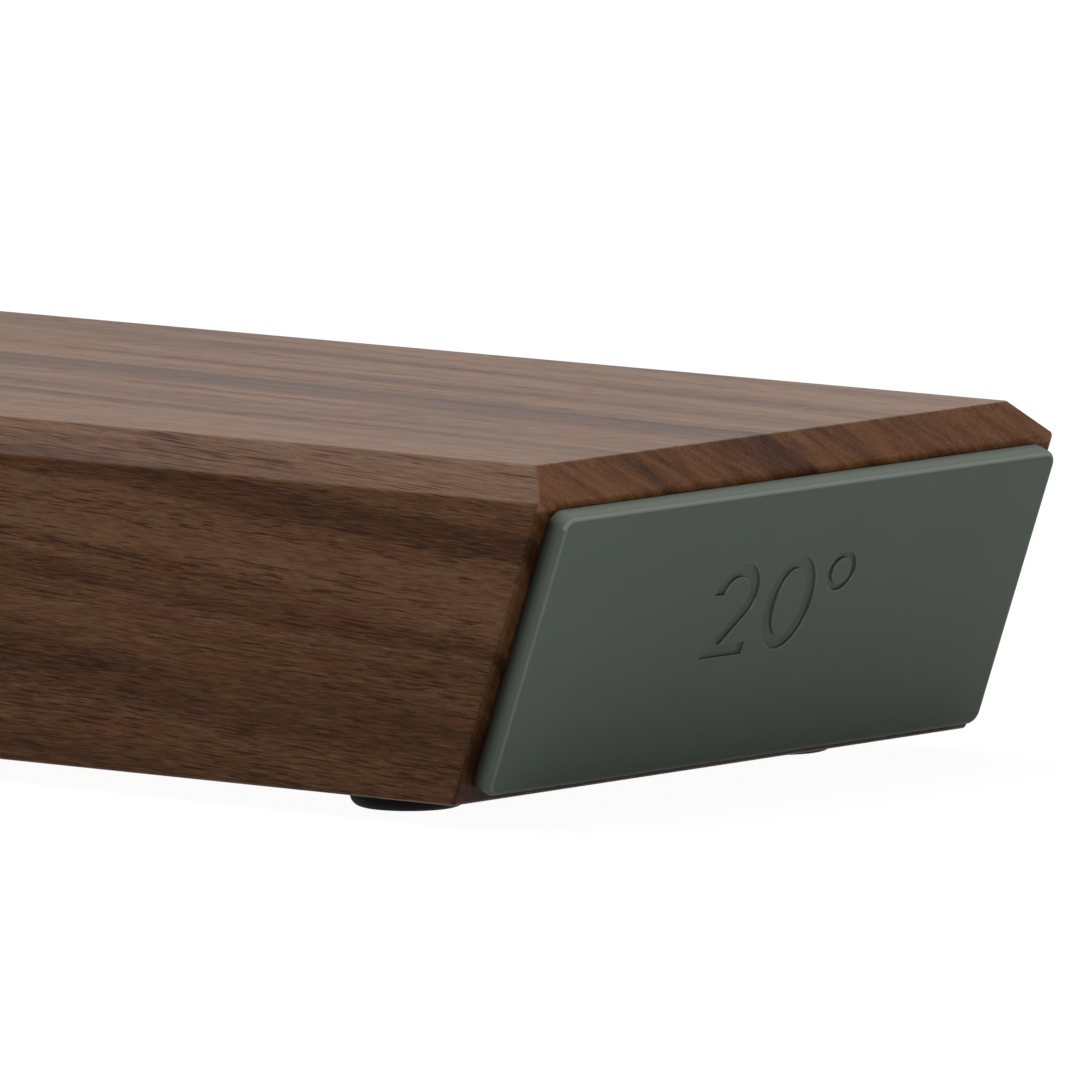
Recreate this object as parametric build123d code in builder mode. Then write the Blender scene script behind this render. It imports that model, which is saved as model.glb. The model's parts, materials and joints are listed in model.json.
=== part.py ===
from build123d import *
from math import cos, radians, sin, tan
import os

os.makedirs("parts", exist_ok=True)

# Magnetic angle block of a rolling knife sharpener, in millimetres and degrees.
# The block stands on four feet. A knife is held flat against the silicone pad of one end,
# so its bevel is ground at that end's angle.
# +Z is up and +X points to the steep end. The origin is on the table, under the block's middle.

# Walnut block: both ends lean outwards at the top, below a chamfer that runs all round
block_length = 118.3
block_width = 60
block_height = 25.1
top_chamfer = 2.5
edge_radius = 0.4
steep_angle = 20
shallow_angle = 15

# Silicone pads, each bonded to an end by a sheet of adhesive film
pad_thickness = 1.6
pad_side_margin = 1.35
pad_top_margin = 0.55
pad_bottom_margin = 0.9
pad_corner_radius = 0.7
pad_edge_radius = 0.45
film_thickness = 0.15
film_inset = 0.3

# Block magnets, which fill the windows of a moulded carrier on a steel yoke plate
magnet_columns = 4
magnet_rows = 2
magnet_thickness = 3
magnet_edge = 0.25
magnet_clearance = 0.1
carrier_wall = 1.2
window_web = 1
yoke_thickness = 2

# Milled pocket for the carrier and its yoke
pocket_land = 3.1
pocket_side_land = 3.7
pocket_radius = 3
pocket_clearance = 0.15

# Countersunk wood screws that clamp the carrier and yoke to the pocket's floor
screw_diameter = 2.5
screw_head_diameter = 4.7
screw_length = 12
screw_tip = 2
screw_sink = 0.15
screw_clearance = 0.1
countersink_angle = 90
pilot_spare = 1

# Rubber feet, each stuck into a shallow round recess by an adhesive disc
foot_diameter = 8.62
foot_protrusion = 1.65
foot_edge = 0.6
foot_side_inset = 8.6
foot_end_inset = 11.25
recess_depth = 1
recess_clearance = 0.1
disc_thickness = 0.15
disc_inset = 0.4

# Sizes and places that follow from the ones above
ends = {"20": (1, steep_angle), "15": (-1, shallow_angle)}
sides = {"front": -1, "back": 1}
underside = foot_protrusion
block_top = underside + block_height
arris = block_top - top_chamfer
pad_width = block_width - 2 * pad_side_margin


def slope_length(angle):
    """Length of a slanted end, down its slope from the arris."""
    return (arris - underside) / cos(radians(angle))


def pad_height(angle):
    """Height of a pad, measured along its slope."""
    return slope_length(angle) - pad_top_margin - pad_bottom_margin


def pad_reach(angle):
    """How far a pad's rounded upper edge stands out past the arris."""
    level = film_thickness + pad_thickness - pad_edge_radius
    drop = pad_top_margin + pad_edge_radius
    return level * cos(radians(angle)) - drop * sin(radians(angle)) + pad_edge_radius


def undercut(angle):
    """How far the bottom of an end lies behind its arris."""
    return (arris - underside) * tan(radians(angle))


# The block is moved along X by half the difference of the pads, which centres the whole
middle = (pad_reach(shallow_angle) - pad_reach(steep_angle)) / 2


def end_plane(direction, angle):
    """Plane of an end's slanted face, centred on its pad, with local Y up the slope."""
    drop = pad_top_margin + pad_height(angle) / 2
    tilt = radians(angle)
    return Plane(
        origin=(
            middle + direction * (block_length / 2 - drop * sin(tilt)),
            0,
            arris - drop * cos(tilt),
        ),
        x_dir=(0, direction, 0),
        z_dir=(direction * cos(tilt), 0, -sin(tilt)),
    )


def foot_place(direction, angle, side):
    """Centre of a foot on the underside, set in from the bottom of its end."""
    reach = block_length / 2 - undercut(angle) - foot_end_inset
    return (middle + direction * reach, side * (block_width / 2 - foot_side_inset))


# Carrier, the same at both ends, so it is sized for the shorter pad
carrier_thickness = magnet_thickness
carrier_length = pad_width - 2 * pocket_side_land
carrier_width = min(pad_height(steep_angle), pad_height(shallow_angle)) - 2 * pocket_land
carrier_radius = pocket_radius - pocket_clearance
pocket_depth = carrier_thickness + yoke_thickness
head_depth = (screw_head_diameter - screw_diameter) / 2 / tan(radians(countersink_angle / 2))
sink_spread = screw_sink * tan(radians(countersink_angle / 2))
countersink_radius = screw_head_diameter / 2 + sink_spread + screw_clearance
screw_reach = carrier_length / 2 - carrier_wall - countersink_radius
screw_places = [(-screw_reach, 0), (screw_reach, 0)]

# Windows share the carrier between the screws, with a web round each
column_pitch = (2 * (screw_reach - countersink_radius) - window_web) / magnet_columns
row_pitch = (carrier_width - 2 * carrier_wall + window_web) / magnet_rows
window_length = column_pitch - window_web
window_width = row_pitch - window_web
magnet_length = window_length - 2 * magnet_clearance
magnet_width = window_width - 2 * magnet_clearance
magnet_grid = GridLocations(column_pitch, row_pitch, magnet_columns, magnet_rows)
magnet_places = [(spot.position.X, spot.position.Y) for spot in magnet_grid.locations]

# Walnut block: side profile and cross-section share the same chamfer, so it is mitred
side_profile = [
    (middle + block_length / 2 - undercut(steep_angle), underside),
    (middle + block_length / 2, arris),
    (middle + block_length / 2 - top_chamfer, block_top),
    (middle - block_length / 2 + top_chamfer, block_top),
    (middle - block_length / 2, arris),
    (middle - block_length / 2 + undercut(shallow_angle), underside),
]
cross_section = [
    (block_width / 2, underside),
    (block_width / 2, arris),
    (block_width / 2 - top_chamfer, block_top),
    (-block_width / 2 + top_chamfer, block_top),
    (-block_width / 2, arris),
    (-block_width / 2, underside),
]
with BuildPart() as walnut_block:
    with BuildSketch(Plane.XZ):
        with BuildLine():
            Polyline(*side_profile, close=True)
        make_face()
    extrude(amount=block_width / 2, both=True)
    with BuildSketch(Plane.YZ):
        with BuildLine():
            Polyline(*cross_section, close=True)
        make_face()
    extrude(amount=block_length, both=True, mode=Mode.INTERSECT)
    fillet(walnut_block.edges(), edge_radius)
    for direction, angle in ends.values():
        face = end_plane(direction, angle)
        with BuildSketch(face):
            RectangleRounded(
                carrier_length + 2 * pocket_clearance,
                carrier_width + 2 * pocket_clearance,
                pocket_radius,
            )
        extrude(amount=-pocket_depth, mode=Mode.SUBTRACT)
        with BuildSketch(face.offset(-pocket_depth)):
            with Locations(*screw_places):
                Circle(screw_diameter / 2 + screw_clearance)
        pilot_depth = screw_sink + screw_length - pocket_depth + pilot_spare
        extrude(amount=-pilot_depth, mode=Mode.SUBTRACT)
        with BuildSketch(Plane.XY.offset(underside)):
            with Locations(*[foot_place(direction, angle, side) for side in sides.values()]):
                Circle(foot_diameter / 2 + recess_clearance)
        extrude(amount=recess_depth, mode=Mode.SUBTRACT)
walnut_block.part.label = "walnut_block"
export_step(walnut_block.part, "parts/walnut_block.step")

for end, (direction, angle) in ends.items():
    face = end_plane(direction, angle)
    carrier_back = face.offset(-carrier_thickness)
    pocket_floor = face.offset(-pocket_depth)

    # Steel yoke plate on the pocket's floor, which closes the magnets' circuit
    with BuildPart() as yoke_plate:
        with BuildSketch(pocket_floor):
            RectangleRounded(carrier_length, carrier_width, carrier_radius)
            with Locations(*screw_places):
                Circle(screw_diameter / 2 + screw_clearance, mode=Mode.SUBTRACT)
        extrude(amount=yoke_thickness)
    yoke_plate.part.label = f"yoke_plate_{end}"
    export_step(yoke_plate.part, f"parts/yoke_plate_{end}.step")

    # Moulded carrier: a window for each magnet and a countersunk hole for each screw
    with BuildPart() as magnet_carrier:
        with BuildSketch(carrier_back):
            RectangleRounded(carrier_length, carrier_width, carrier_radius)
            with Locations(*magnet_places):
                Rectangle(window_length, window_width, mode=Mode.SUBTRACT)
        extrude(amount=carrier_thickness)
        with Locations(face):
            with Locations(*screw_places):
                CounterSinkHole(
                    radius=screw_diameter / 2 + screw_clearance,
                    counter_sink_radius=countersink_radius,
                    counter_sink_angle=countersink_angle,
                )
    magnet_carrier.part.label = f"magnet_carrier_{end}"
    export_step(magnet_carrier.part, f"parts/magnet_carrier_{end}.step")

    # Block magnets, on the yoke and flush with the carrier's front
    for number, place in enumerate(magnet_places, start=1):
        with BuildPart() as magnet:
            with BuildSketch(carrier_back):
                with Locations(place):
                    Rectangle(magnet_length, magnet_width)
            extrude(amount=magnet_thickness)
            chamfer(magnet.edges(), magnet_edge)
        magnet.part.label = f"magnet_{end}_{number}"
        export_step(magnet.part, f"parts/magnet_{end}_{number}.step")

    # Countersunk screws, turned about the axis of each hole
    with BuildPart() as carrier_screws:
        for across, up in screw_places:
            head_centre = face.from_local_coords((across, up, -screw_sink))
            section = Plane(origin=head_centre, x_dir=face.x_dir, z_dir=-face.y_dir)
            with BuildSketch(section):
                with BuildLine():
                    Polyline(
                        (0, 0),
                        (screw_head_diameter / 2, 0),
                        (screw_diameter / 2, -head_depth),
                        (screw_diameter / 2, screw_tip - screw_length),
                        (0, -screw_length),
                        close=True,
                    )
                make_face()
            revolve(axis=Axis(head_centre, face.z_dir))
    carrier_screws.part.label = f"carrier_screws_{end}"
    export_step(carrier_screws.part, f"parts/carrier_screws_{end}.step")

    # Adhesive film between the end and its pad
    with BuildPart() as adhesive_film:
        with BuildSketch(face):
            RectangleRounded(
                pad_width - 2 * film_inset,
                pad_height(angle) - 2 * film_inset,
                pad_corner_radius - film_inset,
            )
        extrude(amount=film_thickness)
    adhesive_film.part.label = f"adhesive_film_{end}"
    export_step(adhesive_film.part, f"parts/adhesive_film_{end}.step")

    # Silicone pad with a rounded front edge, which the knife lies against
    with BuildPart() as silicone_pad:
        with BuildSketch(face.offset(film_thickness)):
            RectangleRounded(pad_width, pad_height(angle), pad_corner_radius)
        extrude(amount=pad_thickness)
        front = silicone_pad.faces().sort_by(Axis(face.origin, face.z_dir))[-1]
        fillet(front.outer_wire().edges(), pad_edge_radius)
    silicone_pad.part.label = f"silicone_pad_{end}"
    export_step(silicone_pad.part, f"parts/silicone_pad_{end}.step")

    for side_name, side in sides.items():
        with BuildPart() as foot_adhesive:
            with BuildSketch(Plane.XY.offset(underside + recess_depth - disc_thickness)):
                with Locations(foot_place(direction, angle, side)):
                    Circle(foot_diameter / 2 - disc_inset)
            extrude(amount=disc_thickness)
        foot_adhesive.part.label = f"foot_adhesive_{end}_{side_name}"
        export_step(foot_adhesive.part, f"parts/foot_adhesive_{end}_{side_name}.step")

        # Rubber foot with a bevelled lower edge, flat where it stands
        with BuildPart() as foot:
            with BuildSketch(Plane.XY):
                with Locations(foot_place(direction, angle, side)):
                    Circle(foot_diameter / 2)
            extrude(amount=underside + recess_depth - disc_thickness)
            chamfer(foot.edges().group_by(Axis.Z)[0], foot_edge)
        foot.part.label = f"foot_{end}_{side_name}"
        export_step(foot.part, f"parts/foot_{end}_{side_name}.step")
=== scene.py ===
"""Looks of a magnetic angle block: oiled walnut, silicone knife faces, and rubber feet."""
import json
from math import acos, atan2, cos, hypot, pi, radians, sin

import bmesh
import bpy
from mathutils import Matrix, Vector


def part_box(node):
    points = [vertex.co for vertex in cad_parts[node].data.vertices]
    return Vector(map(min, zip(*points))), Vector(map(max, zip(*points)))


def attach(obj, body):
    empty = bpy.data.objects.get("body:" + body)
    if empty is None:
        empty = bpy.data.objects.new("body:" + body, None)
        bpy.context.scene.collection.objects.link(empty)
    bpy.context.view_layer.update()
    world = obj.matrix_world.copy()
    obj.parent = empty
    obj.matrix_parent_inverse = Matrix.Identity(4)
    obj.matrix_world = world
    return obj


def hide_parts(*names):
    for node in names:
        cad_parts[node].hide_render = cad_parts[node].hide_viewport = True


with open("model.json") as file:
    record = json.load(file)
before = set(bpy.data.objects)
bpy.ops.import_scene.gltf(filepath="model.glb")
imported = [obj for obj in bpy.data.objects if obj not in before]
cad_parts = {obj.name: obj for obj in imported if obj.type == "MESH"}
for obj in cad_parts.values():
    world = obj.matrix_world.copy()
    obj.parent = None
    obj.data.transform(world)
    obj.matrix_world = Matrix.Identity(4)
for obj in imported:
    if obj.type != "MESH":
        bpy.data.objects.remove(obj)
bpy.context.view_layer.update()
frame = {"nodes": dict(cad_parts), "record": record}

# Units
MM = 0.001
TURN = 2 * pi

# Camera: a very long lens, a little above the block and towards its steep end
camera_azimuth = radians(39.405)
camera_elevation = radians(6.6306)
camera_distance = 1881.6 * MM
camera_aim = Vector((34.558, 0, 17.199)) * MM
camera_lens = 851.005
camera_sensor = 36
camera_near = 0.1
camera_far = 20

# Studio: each lamp's place, size and power
sky_level = 0.06
lamps = {
    "key_lamp": (Vector((-0.3, -0.1, 1.15)), 1.5, 30),
    "end_lamp": (Vector((1.5, 0.25, 0.2)), 0.5, 1),
    "back_lamp": (Vector((-0.5, 1.5, 0.5)), 0.8, 4),
}

# Studio floor: grey in the light it sends back, white to the camera but for a share that is lit
floor_reach = 3
floor_level = 0.8
floor_shadow_share = 0.05
floor_lit_level = 0.8

# Walnut: how light its growth layers are, by their depth across the block in millimetres
growth_from = -20
growth_to = 40
growth_stops = (
    (-20, 0.5), (-17, 0.3), (-15, 0.6), (-13.4, 0.5), (-12, 0.22), (-10.8, 0.28), (-9.6, 0.6),
    (-7.6, 0.55), (-6.8, 0.3), (-5.8, 0.6), (-2.6, 0.75), (-1.8, 0.6), (-1.1, 0.25), (-0.1, 0.25),
    (0.7, 0.55), (2.6, 0.6), (6, 0.75), (10.5, 0.65), (11.8, 0.35), (13, 0.6), (14.2, 0.4),
    (15.2, 0.65), (18.6, 0.6), (19.6, 0.3), (22.3, 0.25), (22.9, 0.68), (25.4, 0.65),
    (26.8, 0.35), (28.2, 0.7), (32, 0.5), (36, 0.65),
)

# The growth layers lean across the block, and the fibre falls slowly towards the steep end
layer_direction = Vector((0.059, 0.656, 0.754)).normalized()
fibre_direction = Vector((1, -0.045, -0.039)).normalized()

# Walnut's tones from dark to light, and those of its redder and yellower streaks and its pores
walnut_tones = (
    (0.2, (0.030, 0.0125, 0.0055)),
    (0.42, (0.058, 0.0260, 0.0114)),
    (0.6, (0.086, 0.0408, 0.0187)),
    (0.85, (0.132, 0.0675, 0.0345)),
)
red_streak = (0.092, 0.032, 0.0120)
yellow_streak = (0.072, 0.0375, 0.0115)
pore_tone = (0.018, 0.0064, 0.0022)

# Tints: end grain, painted shade on end faces round the pads, painted light on lips over them
end_grain_tint = (1.0, 0.78, 0.54)
end_face_shade_tint = (0.68, 0.80, 0.95)
lip_light_tint = (1.75, 2.0, 2.5)

# Silicone, its pale edges as painted highlight, and its dark sides at the wood as painted shade
silicone_tones = ((0.0845, 0.1022, 0.0822), (0.0933, 0.1122, 0.0911))
edge_highlight_tone = (0.240, 0.265, 0.235)
crease_shade_tone = (0.004, 0.005, 0.004)

# Each of these plain finishes varies between two tones
foot_tones = ((0.008, 0.008, 0.009), (0.014, 0.014, 0.015))
plastic_tones = ((0.026, 0.026, 0.028), (0.036, 0.036, 0.038))
film_tones = ((0.70, 0.68, 0.63), (0.80, 0.78, 0.73))

# Silicone pads, and the adhesive films behind them
pad_edge_radius = 0.45 * MM
pad_front_border = 0.135 * MM
pad_corner_radius = 1.1 * MM
pad_bottom_lift = 0.35 * MM
film_inset = 0.3 * MM
edge_steps = 5
corner_steps = 10

# Numbers sunk into the pads. Places are across from the pad's middle and down from its top edge
number_depth = 0.32 * MM
number_border = 0.02 * MM
number_rim = 0.1 * MM
number_draft = 0.005 * MM
number_root = 0.05 * MM
cap_top = 5.6 * MM
cap_bottom = 13.36 * MM
two_left = -8.35 * MM
zero_left = -2.06 * MM
degree_left_20 = 4.52 * MM
one_left = -6.6 * MM
five_left = -1.6 * MM
degree_left_15 = 4.2 * MM
degree_drop = 0.2 * MM
curve_steps = 48
least_curve_steps = 4
rounding_steps = 3

# Feet
foot_edge_radius = 0.9 * MM
foot_steps = 96
foot_edge_steps = 8
foot_merge_distance = 0.001 * MM

# Modelled pieces are shaded smooth, but for edges where they turn by more than this
crease_angle = radians(50)


def reach(node, direction):
    """Lowest and highest place of a CAD piece along a direction, at rest."""
    places = [vertex.co.dot(direction) for vertex in frame["nodes"][node].data.vertices]
    return min(places), max(places)


def mount(name):
    """Place and outward direction of one of the record's mounts."""
    found = next(row for row in frame["record"]["mounts"] if row["name"] == name)
    return Vector(found["pos_m"]), Vector(found["axis"])


class Level:
    """A number, colour or vector that varies over a surface. Arithmetic on it adds Math nodes."""

    def __init__(self, finish, socket):
        self.finish = finish
        self.socket = socket

    def __add__(self, other):
        return self.finish.math("ADD", self, other)

    def __radd__(self, other):
        return self.finish.math("ADD", other, self)

    def __sub__(self, other):
        return self.finish.math("SUBTRACT", self, other)

    def __rsub__(self, other):
        return self.finish.math("SUBTRACT", other, self)

    def __mul__(self, other):
        return self.finish.math("MULTIPLY", self, other)

    def __rmul__(self, other):
        return self.finish.math("MULTIPLY", other, self)


class Finish:
    """The nodes of a material or of the world, under construction."""

    def __init__(self, owner):
        self.owner = owner
        self.owner.use_nodes = True
        self.tree = self.owner.node_tree
        self.tree.nodes.clear()

    def node(self, kind, settings=None, values=None, output=0):
        """Adds a node: its settings first, then the values or links of its sockets."""
        node = self.tree.nodes.new(kind)
        for name, setting in (settings or {}).items():
            if name == "stops":
                lay_stops(node.color_ramp, setting)
            else:
                setattr(node, name, setting)
        for name, value in (values or {}).items():
            socket = open_socket(node.inputs, name)
            if isinstance(value, Level):
                self.tree.links.new(value.socket, socket)
            elif socket.type == "RGBA":
                socket.default_value = (*value, 1)
            else:
                socket.default_value = value
        return Level(self, open_socket(node.outputs, output))

    def math(self, operation, *values):
        return self.node("ShaderNodeMath", {"operation": operation}, dict(enumerate(values)))

    def object_place(self):
        """Place on the piece, in millimetres."""
        place = self.node("ShaderNodeTexCoord", output="Object")
        return self.node("ShaderNodeVectorMath", {"operation": "SCALE"},
                         {"Vector": place, "Scale": 1 / MM})

    def along(self, place, direction):
        """How far a place lies along a direction."""
        return self.node("ShaderNodeVectorMath", {"operation": "DOT_PRODUCT"},
                         {0: place, 1: direction}, output="Value")

    def noise(self, place, scale=1, detail=2, roughness=0.5):
        return self.node("ShaderNodeTexNoise", values={
            "Vector": place, "Scale": scale, "Detail": detail, "Roughness": roughness})

    def grain(self, places, scales, **looks):
        """Noise on three coordinates, each at its own scale."""
        x, y, z = (place * scale for place, scale in zip(places, scales))
        stretched = self.node("ShaderNodeCombineXYZ", values={"X": x, "Y": y, "Z": z})
        return self.noise(stretched, **looks)

    def between(self, level, low, high, to_low=0, to_high=1):
        """Smooth step of a level from low to high."""
        return self.node("ShaderNodeMapRange", {"interpolation_type": "SMOOTHSTEP"}, {
            "Value": level, "From Min": low, "From Max": high,
            "To Min": to_low, "To Max": to_high})

    def between_plain(self, level, low, high):
        """Share of the way of a level from low to high."""
        return self.node("ShaderNodeMapRange", values={
            "Value": level, "From Min": low, "From Max": high})

    def ramp(self, level, stops):
        return self.node("ShaderNodeValToRGB", {"stops": stops}, {"Fac": level})

    def mix(self, share, first, second, blend="MIX"):
        return self.node("ShaderNodeMix", {"data_type": "RGBA", "blend_type": blend},
                         {"Factor": share, "A": first, "B": second})

    def bump(self, height, distance, strength):
        return self.node("ShaderNodeBump", values={
            "Height": height, "Distance": distance, "Strength": strength})

    def surface(self, **values):
        """Ends the material in one principled shader."""
        sockets = {name.replace("_", " ").title(): value for name, value in values.items()}
        if "Specular Level" in sockets:
            sockets["Specular IOR Level"] = sockets.pop("Specular Level")
        shader = self.node("ShaderNodeBsdfPrincipled", values=sockets)
        return self.close(shader)

    def close(self, shader, output="ShaderNodeOutputMaterial"):
        self.node(output, values={"Surface": shader}, output=None)
        return self.owner


def open_socket(sockets, name):
    """The socket that is in use under a name, or at a number among all of them."""
    if name is None:
        return None
    if isinstance(name, int):
        return [socket for socket in sockets if socket.enabled][name]
    return next(socket for socket in sockets if socket.enabled and socket.name == name)


def lay_stops(ramp, stops):
    """Sets a ramp's places and colours."""
    while len(ramp.elements) < len(stops):
        ramp.elements.new(1)
    for element, (place, colour) in zip(ramp.elements, stops):
        element.position = place
        element.color = (*colour, 1)


def walnut():
    """Oiled walnut, with growth layers, streaks, fibres and pores along its fibre."""
    wood = Finish(bpy.data.materials.new("walnut"))
    place = wood.object_place()
    run = wood.along(place, fibre_direction)
    depth = wood.along(place, layer_direction)
    side = wood.along(place, layer_direction.cross(fibre_direction).normalized())

    # The layers sway along the board
    sway = wood.grain((run, depth, side), (0.009, 0.02, 0.02))
    ripple = wood.grain((run, depth, side), (0.045, 0.15, 0.15))
    layer = depth + (sway - 0.5) * 1.6 + (ripple - 0.5) * 1.2

    # Broad growth layers, then ever finer streaks along the fibre
    stops = [((at - growth_from) / (growth_to - growth_from), [share] * 3)
             for at, share in growth_stops]
    growth = wood.ramp(wood.between_plain(layer, growth_from, growth_to), stops)
    ring = wood.grain((run, layer, side), (0.004, 0.5, 0.05), detail=3, roughness=0.6)
    streaks = wood.grain((run, layer, side), (0.02, 1.3, 0.3), detail=3, roughness=0.65)
    fibres = wood.grain((run, layer, side), (0.12, 4.4, 4.4), roughness=0.7)
    hairs = wood.grain((run, depth, side), (0.5, 8, 8), roughness=0.7)

    # Pores: thin dark dashes along the fibre, dots where it is cut across
    pore = wood.grain((run, depth, side), (0.2, 7.5, 7.5), detail=1)
    crowd = wood.grain((run, layer, side), (0.03, 0.7, 0.2))
    pore = wood.between(pore + (crowd - 0.5) * 0.4, 0.57, 0.67)

    # End grain is darker and redder. Round the pads, the end faces that lean under get painted
    # shade, and the lip just over the pads gets painted light. The top is sanded smoother
    normal = wood.node("ShaderNodeTexCoord", output="Normal")
    cut = wood.along(normal, (1, 0, 0))
    up = wood.along(normal, (0, 0, 1))
    end_grain = wood.between(wood.math("ABSOLUTE", cut), 0.35, 0.68)
    pad_top = reach("silicone_pad_20", Vector((0, 0, 1)))[1] / MM
    level = wood.along(place, (0, 0, 1))
    # Painted shade: end faces that lean under, below the pads' top, are darkened
    shaded_end_face = end_grain * wood.between(up, -0.05, -0.25)
    shaded_end_face = shaded_end_face * wood.between(level, pad_top, pad_top - 0.6)
    # Painted light: the end grain's lip just over the pads is made much lighter
    lit_lip = end_grain * wood.between(up, 0.7, 0.4)
    lit_lip = lit_lip * wood.between(level, pad_top - 0.1, pad_top + 0.1)
    top = wood.between(up, 0.85, 0.97)
    pore = pore * (1 - top * 0.5) * (1 - end_grain * 0.5)

    shade = (growth * 0.65 + ring * 0.35 + streaks * 0.5 + fibres * 0.4 + crowd * -0.2 - 0.3
             + (hairs - 0.5) * (0.95 - top * 0.5)
             + end_grain * ((growth - 0.5) * 0.4 + (streaks - 0.5) * 0.7)
             + top * ((growth - 0.47) * 0.35 + (ring - 0.5) * 0.5 + (streaks - 0.5) * 0.5))
    colour = wood.ramp(shade, walnut_tones)
    hue = wood.grain((run, layer, side), (0.09, 0.7, 0.5))
    colour = wood.mix(wood.between(hue, 0.52, 0.72, 0, 0.35), colour, red_streak)
    colour = wood.mix(wood.between(hue, 0.48, 0.3, 0, 0.1), colour, yellow_streak)
    colour = wood.mix(pore * 0.7, colour, pore_tone)
    colour = wood.mix(end_grain, colour, wood.mix(1, colour, end_grain_tint, "MULTIPLY"))
    colour = wood.mix(shaded_end_face, colour, wood.mix(1, colour, end_face_shade_tint, "MULTIPLY"))
    colour = wood.mix(lit_lip, colour, wood.mix(1, colour, lip_light_tint, "MULTIPLY"))

    relief = 0.6 * fibres + 0.5 * hairs - pore
    return wood.surface(
        base_color=colour,
        roughness=0.38 + pore * 0.15,
        specular_level=0.06,
        normal=wood.bump(relief, 0.03 * MM, 0.4),
    )


def silicone():
    """Matt sage green silicone, faintly uneven, with a painted edge highlight and painted shade.
    """
    rubber = Finish(bpy.data.materials.new("silicone"))
    place = rubber.object_place()
    cloud = rubber.noise(place, scale=0.12, detail=2)
    grain = rubber.noise(place, scale=9, detail=2, roughness=0.6)
    colour = rubber.mix(cloud, *silicone_tones)

    # Painted highlight on its front edges, the upper one wider and brighter, the lower one less
    normal = rubber.node("ShaderNodeTexCoord", output="Normal")
    up = rubber.along(normal, (0, 0, 1))
    knife_faces = [mount(f"knife_face_{end}") for end in ("20", "15")]
    fronts = [rubber.along(normal, outward) for centre, outward in knife_faces]
    facing = rubber.math("MAXIMUM", *fronts)
    rise = up + facing * 0.34
    upper = rubber.between(rise, 0.05, 0.25)
    edge = rubber.between(facing, 0.66 - upper * 0.5, 0.91 - upper * 0.2)
    edge = edge * rubber.between(facing, 0.999, 0.97 - upper * 0.15)
    edge = edge * rubber.between(rise, -0.4, -0.1, 0.1, 1)
    colour = rubber.mix(edge * (0.32 + upper * 0.65), colour, edge_highlight_tone)

    # Painted shade on its sides, darkest where they meet the wood, but not on top
    heights = [rubber.along(place, outward) - centre.dot(outward) / MM
               for centre, outward in knife_faces]
    height = rubber.math("MAXIMUM", *heights)
    crease_shade = rubber.between(height, -0.3, -1.7) * rubber.between(up, 0.6, 0.1)
    colour = rubber.mix(crease_shade * 0.95, colour, crease_shade_tone)
    return rubber.surface(
        base_color=colour,
        roughness=0.66 + grain * 0.08,
        specular_level=0.12,
        normal=rubber.bump(grain, 0.004 * MM, 0.5),
    )


def foot_rubber():
    """Black rubber with a dull bloom."""
    rubber = Finish(bpy.data.materials.new("foot rubber"))
    place = rubber.object_place()
    grain = rubber.noise(place, scale=6, detail=3, roughness=0.6)
    return rubber.surface(
        base_color=rubber.mix(grain, *foot_tones),
        roughness=0.75 + grain * 0.1,
        specular_level=0.15,
        normal=rubber.bump(grain, 0.01 * MM, 0.5),
    )


def plating(name, light, dark, roughness, brushing):
    """Plated metal with fine, level brush marks."""
    metal = Finish(bpy.data.materials.new(name))
    place = metal.object_place()
    axes = [metal.along(place, axis) for axis in ((1, 0, 0), (0, 1, 0), (0, 0, 1))]
    marks = metal.grain(axes, (0.4, 0.4 * brushing, 6 * brushing), detail=3)
    return metal.surface(
        base_color=metal.mix(marks, light, dark),
        metallic=1.0,
        roughness=roughness + marks * 0.12,
        normal=metal.bump(marks, 0.004 * MM, 0.4),
    )


def moulded_plastic():
    """Black moulded plastic with a fine spark-eroded texture."""
    plastic = Finish(bpy.data.materials.new("moulded plastic"))
    place = plastic.object_place()
    grain = plastic.noise(place, scale=5, detail=3, roughness=0.7)
    return plastic.surface(
        base_color=plastic.mix(grain, *plastic_tones),
        roughness=0.5 + grain * 0.15,
        normal=plastic.bump(grain, 0.02 * MM, 0.6),
    )


def adhesive():
    """Milky adhesive film with trapped air in it."""
    film = Finish(bpy.data.materials.new("adhesive film"))
    place = film.object_place()
    clouds = film.noise(place, scale=0.8, detail=4, roughness=0.6)
    return film.surface(
        base_color=film.mix(clouds, *film_tones),
        roughness=0.35 + clouds * 0.2,
        normal=film.bump(clouds, 0.01 * MM, 0.5),
    )


def dress(thing, material):
    thing.data.materials.clear()
    thing.data.materials.append(material)
    for face in thing.data.polygons:
        face.material_index = 0


def put_in_scene(shape, mesh_name, name, material):
    """Turns a modelled shape into an object."""
    mesh = bpy.data.meshes.new(mesh_name)
    shape.to_mesh(mesh)
    shape.free()
    thing = bpy.data.objects.new(name, mesh)
    bpy.context.scene.collection.objects.link(thing)
    dress(thing, material)
    return thing


def stand_in(shape, node, material):
    """Makes a modelled shape the piece that is seen in place of a CAD piece."""
    bmesh.ops.recalc_face_normals(shape, faces=shape.faces)
    for face in shape.faces:
        face.smooth = True
    for edge in shape.edges:
        edge.smooth = edge.calc_face_angle(0) < crease_angle
    thing = put_in_scene(shape, f"{node}_shape", f"{node}_piece", material)
    weighted = thing.modifiers.new("soft shading", "WEIGHTED_NORMAL")
    weighted.keep_sharp = True
    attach(thing, "root")
    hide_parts(node)


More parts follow.
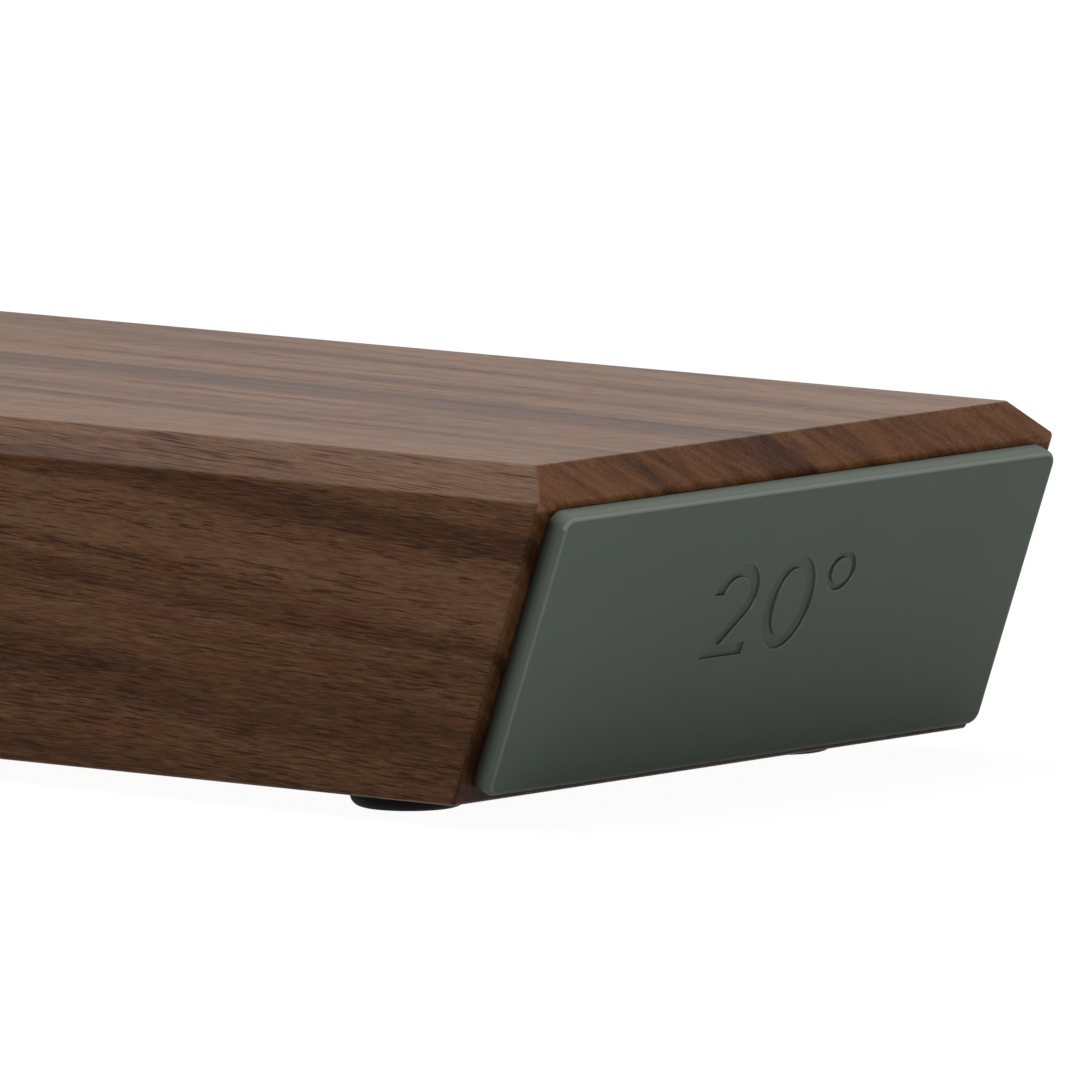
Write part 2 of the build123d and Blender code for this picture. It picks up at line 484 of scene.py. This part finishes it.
class Stencil:
    """Draws the outlines of a number on the front of a pad, with bmesh operators."""

    def __init__(self, shape, height):
        self.shape = shape
        self.height = height
        self.start = self.tip = None

    def spot(self, across, up):
        return Vector((across, up, self.height))

    def begin(self, across, up):
        self.start = self.tip = self.shape.verts.new(self.spot(across, up))

    def line(self, across, up):
        corner = self.shape.verts.new(self.spot(across, up))
        self.shape.edges.new((self.tip, corner))
        self.tip = corner

    def arc(self, across, up, angle):
        """Carries the outline round a centre. A positive angle turns to the left."""
        steps = max(least_curve_steps, round(abs(angle) / TURN * curve_steps))
        made = bmesh.ops.spin(self.shape, geom=[self.tip], cent=self.spot(across, up),
                              axis=(0, 0, 1), angle=angle, steps=steps)
        self.tip = next(part for part in made["geom_last"] if isinstance(part, bmesh.types.BMVert))

    def finish(self):
        self.shape.edges.new((self.tip, self.start))

    def ellipse(self, across, up, half_width, half_height):
        place = Matrix.Translation(self.spot(across, up)) @ Matrix.Diagonal(
            (half_width, half_height, 1, 1))
        bmesh.ops.create_circle(self.shape, segments=curve_steps, radius=1, matrix=place)


def heading(start, end):
    return atan2(end[1] - start[1], end[0] - start[0])


def tangent_angle(centre, radius, point):
    """Heading from a circle's centre to where a line from a point below touches its right side."""
    gap = hypot(point[0] - centre[0], point[1] - centre[1])
    return heading(centre, point) + acos(radius / gap)


def draw_two(pen, left, top, bottom):
    """A geometric 2: a round bowl with a level cut, and a straight back down to a pointed foot."""
    outer, inner, bar, width, notch = 2.63 * MM, 1.3 * MM, 1.22 * MM, 5.35 * MM, 2.5 * MM
    centre = (left + outer, top - outer)
    toe = (left, bottom)
    crotch = (left + notch, bottom + bar)
    outside = tangent_angle(centre, outer, crotch)
    inside = tangent_angle(centre, inner, toe)
    pen.begin(centre[0] - outer, centre[1])
    pen.arc(*centre, outside - pi)
    pen.line(*crotch)
    pen.line(left + width, bottom + bar)
    pen.line(left + width, bottom)
    pen.line(*toe)
    pen.line(centre[0] + inner * cos(inside), centre[1] + inner * sin(inside))
    pen.arc(*centre, pi - inside)
    pen.finish()


def draw_zero(pen, left, top, bottom):
    """A tall oval ring."""
    width, stroke_side, stroke_end = 5.75 * MM, 1.43 * MM, 1.27 * MM
    middle = (left + width / 2, (top + bottom) / 2)
    pen.ellipse(*middle, width / 2, (top - bottom) / 2)
    pen.ellipse(*middle, width / 2 - stroke_side, (top - bottom) / 2 - stroke_end)


def draw_degree(pen, left, top):
    """The small ring of a degree sign."""
    outer, inner = 1.69 * MM, 0.94 * MM
    for radius in (outer, inner):
        pen.ellipse(left + outer, top - outer, radius, radius)


def draw_one(pen, left, top, bottom):
    """A straight 1 with a slanted flag."""
    stem, flag, drop, slant = 1.3 * MM, 1.65 * MM, 1.15 * MM, 1.25 * MM
    right = left + flag + stem
    pen.begin(right, bottom)
    pen.line(right, top)
    pen.line(right - stem, top)
    pen.line(left, top - drop)
    pen.line(left, top - drop - slant)
    pen.line(right - stem, top - slant)
    pen.line(right - stem, bottom)
    pen.finish()


def draw_five(pen, left, top, bottom):
    """A geometric 5: a level bar, a straight stem and a round bowl."""
    outer, inner, bar, width, stem = 2.5 * MM, 1.23 * MM, 1.17 * MM, 4.6 * MM, 1.25 * MM
    stem_left, bowl_middle = left + 0.35 * MM, left + 2.15 * MM
    centre = (bowl_middle, bottom + outer)
    joint, root, cut = radians(118), radians(150), radians(-152)
    pen.begin(stem_left, top)
    pen.line(centre[0] + inner * cos(root), centre[1] + inner * sin(root))
    pen.arc(*centre, cut - root)
    pen.line(centre[0] + outer * cos(cut), centre[1] + outer * sin(cut))
    pen.arc(*centre, joint - cut)
    pen.line(stem_left + stem, top - bar)
    pen.line(left + width, top - bar)
    pen.line(left + width, top)
    pen.finish()


def draw_20(pen, top):
    draw_two(pen, two_left, top - cap_top, top - cap_bottom)
    draw_zero(pen, zero_left, top - cap_top, top - cap_bottom)
    draw_degree(pen, degree_left_20, top - cap_top - degree_drop)


def draw_15(pen, top):
    draw_one(pen, one_left, top - cap_top, top - cap_bottom)
    draw_five(pen, five_left, top - cap_top, top - cap_bottom)
    draw_degree(pen, degree_left_15, top - cap_top - degree_drop)


def ledge(shape, faces, inset, sink):
    """Steps a patch of faces inwards and down."""
    bmesh.ops.inset_region(shape, faces=faces, thickness=inset, depth=-sink, use_even_offset=True)


def rounding(shape, faces, inset, sink, steps, level_first=False):
    """Steps a patch of faces inwards and down on a quarter round. A negative sink rises."""
    for step in range(steps):
        start, end = (radians(90 * part / steps) for part in (step, step + 1))
        slow, quick = cos(start) - cos(end), sin(end) - sin(start)
        across, down = (quick, slow) if level_first else (slow, quick)
        ledge(shape, faces, inset * across, sink * down)


def engrave(shape, faces):
    """Sinks the strokes of a number, with a rounded rim and a rounded root."""
    ledge(shape, faces, number_border, 0)
    rounding(shape, faces, number_rim, number_rim, rounding_steps, level_first=True)
    ledge(shape, faces, number_draft, number_depth - number_rim - number_root)
    rounding(shape, faces, number_root, number_root, rounding_steps)


class EndSheet:
    """Where a CAD sheet lies on a slanted end, from the middle of the end's knife face."""

    def __init__(self, node, end):
        self.centre, self.outward = mount(f"knife_face_{end}")
        self.upward = (Vector((0, 0, 1)) - self.outward * self.outward.z).normalized()
        self.rightward = self.upward.cross(self.outward)
        self.left, self.right = self.span(node, self.rightward)
        self.bottom, self.top = self.span(node, self.upward)
        self.back, self.front = self.span(node, self.outward)
        self.thickness = self.front - self.back

    def span(self, node, direction):
        start = self.centre.dot(direction)
        return [place - start for place in reach(node, direction)]

    def plate(self, corner, thickness):
        """A level plate with rounded corners and a raised lower edge, and its upper face."""
        shape = bmesh.new()
        bottom = self.bottom + pad_bottom_lift
        bmesh.ops.create_grid(shape, x_segments=1, y_segments=1, size=0.5,
                              matrix=Matrix.Translation((0, (bottom + self.top) / 2, 0))
                              @ Matrix.Diagonal((self.right - self.left, self.top - bottom, 1, 1)))
        bmesh.ops.bevel(shape, geom=shape.verts[:], offset=corner, segments=corner_steps,
                        profile=0.5, affect="VERTICES", material=-1)
        raised = bmesh.ops.extrude_face_region(shape, geom=shape.faces[:],
                                               use_keep_orig=True)["geom"]
        lifted = [part for part in raised if isinstance(part, bmesh.types.BMVert)]
        bmesh.ops.translate(shape, verts=lifted, vec=(0, 0, thickness))
        bmesh.ops.recalc_face_normals(shape, faces=shape.faces)
        return shape, [part for part in raised if isinstance(part, bmesh.types.BMFace)]

    def lay(self, shape):
        """Moves a shape from the level onto the end."""
        turn = Matrix((self.rightward, self.upward, self.outward)).transposed().to_4x4()
        place = Matrix.Translation(self.centre + self.outward * self.back) @ turn
        bmesh.ops.transform(shape, matrix=place, verts=shape.verts)


def adhesive_film(end, material):
    """A film that stays hidden behind its pad."""
    node = f"adhesive_film_{end}"
    sheet = EndSheet(node, end)
    shape = sheet.plate(pad_corner_radius - film_inset, sheet.thickness)[0]
    sheet.lay(shape)
    stand_in(shape, node, material)


def silicone_pad(end, draw, material):
    """A pad with a rounded front edge and its end's angle sunk into the front."""
    node = f"silicone_pad_{end}"
    sheet = EndSheet(node, end)
    shape, front = sheet.plate(pad_corner_radius, sheet.thickness - pad_edge_radius)
    rounding(shape, front, pad_edge_radius, -pad_edge_radius, edge_steps)
    ledge(shape, front, pad_front_border, 0)

    # The front is filled again round the number's outlines, whose strokes then sink
    rim = list(front[0].edges)
    bmesh.ops.delete(shape, geom=front, context="FACES_ONLY")
    before = set(shape.edges)
    draw(Stencil(shape, sheet.thickness), sheet.top)
    outlines = [edge for edge in shape.edges if edge not in before]
    bmesh.ops.triangle_fill(shape, use_beauty=True, edges=rim + outlines, normal=(0, 0, 1))
    filled = bmesh.ops.triangle_fill(shape, use_beauty=True, edges=outlines, normal=(0, 0, 1))
    strokes = [part for part in filled["geom"] if isinstance(part, bmesh.types.BMFace)]
    engrave(shape, strokes)
    sheet.lay(shape)
    stand_in(shape, node, material)


def rubber_foot(node, material):
    """A turned foot with a rounded lower edge, flat where it stands."""
    low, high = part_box(node)
    centre = (low + high) / 2
    radius = (high.x - low.x) / 2
    flat_reach = centre.x + radius - foot_edge_radius
    shape = bmesh.new()
    start = shape.verts.new((centre.x, centre.y, low.z))
    rim = shape.verts.new((flat_reach, centre.y, low.z))
    shape.edges.new((start, rim))
    turned = bmesh.ops.spin(shape, geom=[rim], axis=(0, -1, 0), angle=radians(90),
                            cent=(flat_reach, centre.y, low.z + foot_edge_radius),
                            steps=foot_edge_steps)
    waist = next(part for part in turned["geom_last"] if isinstance(part, bmesh.types.BMVert))
    shoulder = shape.verts.new((centre.x + radius, centre.y, high.z))
    shape.edges.new((waist, shoulder))
    shape.edges.new((shoulder, shape.verts.new((centre.x, centre.y, high.z))))
    bmesh.ops.spin(shape, geom=shape.verts[:] + shape.edges[:], cent=centre, axis=(0, 0, 1),
                   angle=TURN, steps=foot_steps, use_merge=True)
    bmesh.ops.remove_doubles(shape, verts=shape.verts, dist=foot_merge_distance)
    stand_in(shape, node, material)


def studio_floor():
    """White to the camera apart from a faint shadow, and grey to the light that it sends back."""
    paint = Finish(bpy.data.materials.new("studio floor"))
    by_camera = paint.node("ShaderNodeLightPath", output="Is Camera Ray")
    by_gloss = paint.node("ShaderNodeLightPath", output="Is Glossy Ray")
    seen = paint.math("MAXIMUM", by_camera, by_gloss)
    grey = paint.node("ShaderNodeBsdfDiffuse", values={"Color": [floor_level] * 3})
    pale = paint.node("ShaderNodeBsdfDiffuse", values={"Color": [floor_shadow_share] * 3})
    glow = paint.node("ShaderNodeEmission", values={
        "Strength": 1 - floor_shadow_share * floor_lit_level})
    white = paint.node("ShaderNodeAddShader", values={0: pale, 1: glow})
    paint.close(paint.node("ShaderNodeMixShader", values={0: seen, 1: grey, 2: white}))
    shape = bmesh.new()
    bmesh.ops.create_grid(shape, x_segments=1, y_segments=1, size=floor_reach)
    floor = put_in_scene(shape, "floor_shape", "studio_floor", paint.owner)


def sky():
    """Pale grey behind the object and its floor, and a plain dim light from all round."""
    air = Finish(bpy.data.worlds.new("studio"))
    lighting = air.node("ShaderNodeLightPath", output="Is Diffuse Ray")
    strength = 1 - lighting * (1 - sky_level)
    light = air.node("ShaderNodeBackground", values={"Strength": strength})
    bpy.context.scene.world = air.close(light, "ShaderNodeOutputWorld")


def soft_lamp(name, place, size, power):
    """A square soft lamp that looks at the block."""
    lamp = bpy.data.lights.new(name, "AREA")
    lamp.shape = "SQUARE"
    lamp.size = size
    lamp.energy = power
    holder = bpy.data.objects.new(name, lamp)
    holder.location = place
    holder.rotation_euler = (-place).to_track_quat("-Z", "Y").to_euler()
    holder.visible_camera = False
    bpy.context.scene.collection.objects.link(holder)


def camera():
    """The photograph's view."""
    lens = bpy.data.cameras.new("camera")
    lens.lens = camera_lens
    lens.sensor_width = camera_sensor
    lens.clip_start = camera_near
    lens.clip_end = camera_far
    eye = bpy.data.objects.new("camera", lens)
    back = Vector((sin(camera_azimuth) * cos(camera_elevation),
                   -cos(camera_azimuth) * cos(camera_elevation), sin(camera_elevation)))
    eye.location = camera_aim + back * camera_distance
    eye.rotation_euler = back.to_track_quat("Z", "Y").to_euler()
    bpy.context.scene.collection.objects.link(eye)
    bpy.context.scene.camera = eye


# One finish for each of the record's material slots
finishes = {
    "walnut": walnut(),
    "silicone": silicone(),
    "foot_rubber": foot_rubber(),
    "carrier": moulded_plastic(),
    "adhesive": adhesive(),
    "yoke_steel": plating(
        "zinc plated steel", light=(0.58, 0.58, 0.60), dark=(0.46, 0.46, 0.48),
        roughness=0.34, brushing=1),
    "screw_steel": plating(
        "zinc plated screws", light=(0.66, 0.64, 0.58), dark=(0.54, 0.53, 0.50),
        roughness=0.28, brushing=0.5),
    "magnet": plating(
        "nickel plating", light=(0.72, 0.70, 0.66), dark=(0.64, 0.62, 0.58),
        roughness=0.14, brushing=0.2),
}
for part in frame["record"]["subparts"]:
    dress(frame["nodes"][part["node"]], finishes[part["material_slot"]])

# Pieces that are seen in place of their CAD solids
silicone_pad("20", draw_20, finishes["silicone"])
silicone_pad("15", draw_15, finishes["silicone"])
for end in ("20", "15"):
    adhesive_film(end, finishes["adhesive"])
    for side in ("front", "back"):
        rubber_foot(f"foot_{end}_{side}", finishes["foot_rubber"])

# Studio and camera
studio_floor()
sky()
for name, (place, size, power) in lamps.items():
    soft_lamp(name, place, size, power)
camera()
bpy.context.scene.view_settings.view_transform = "Standard"
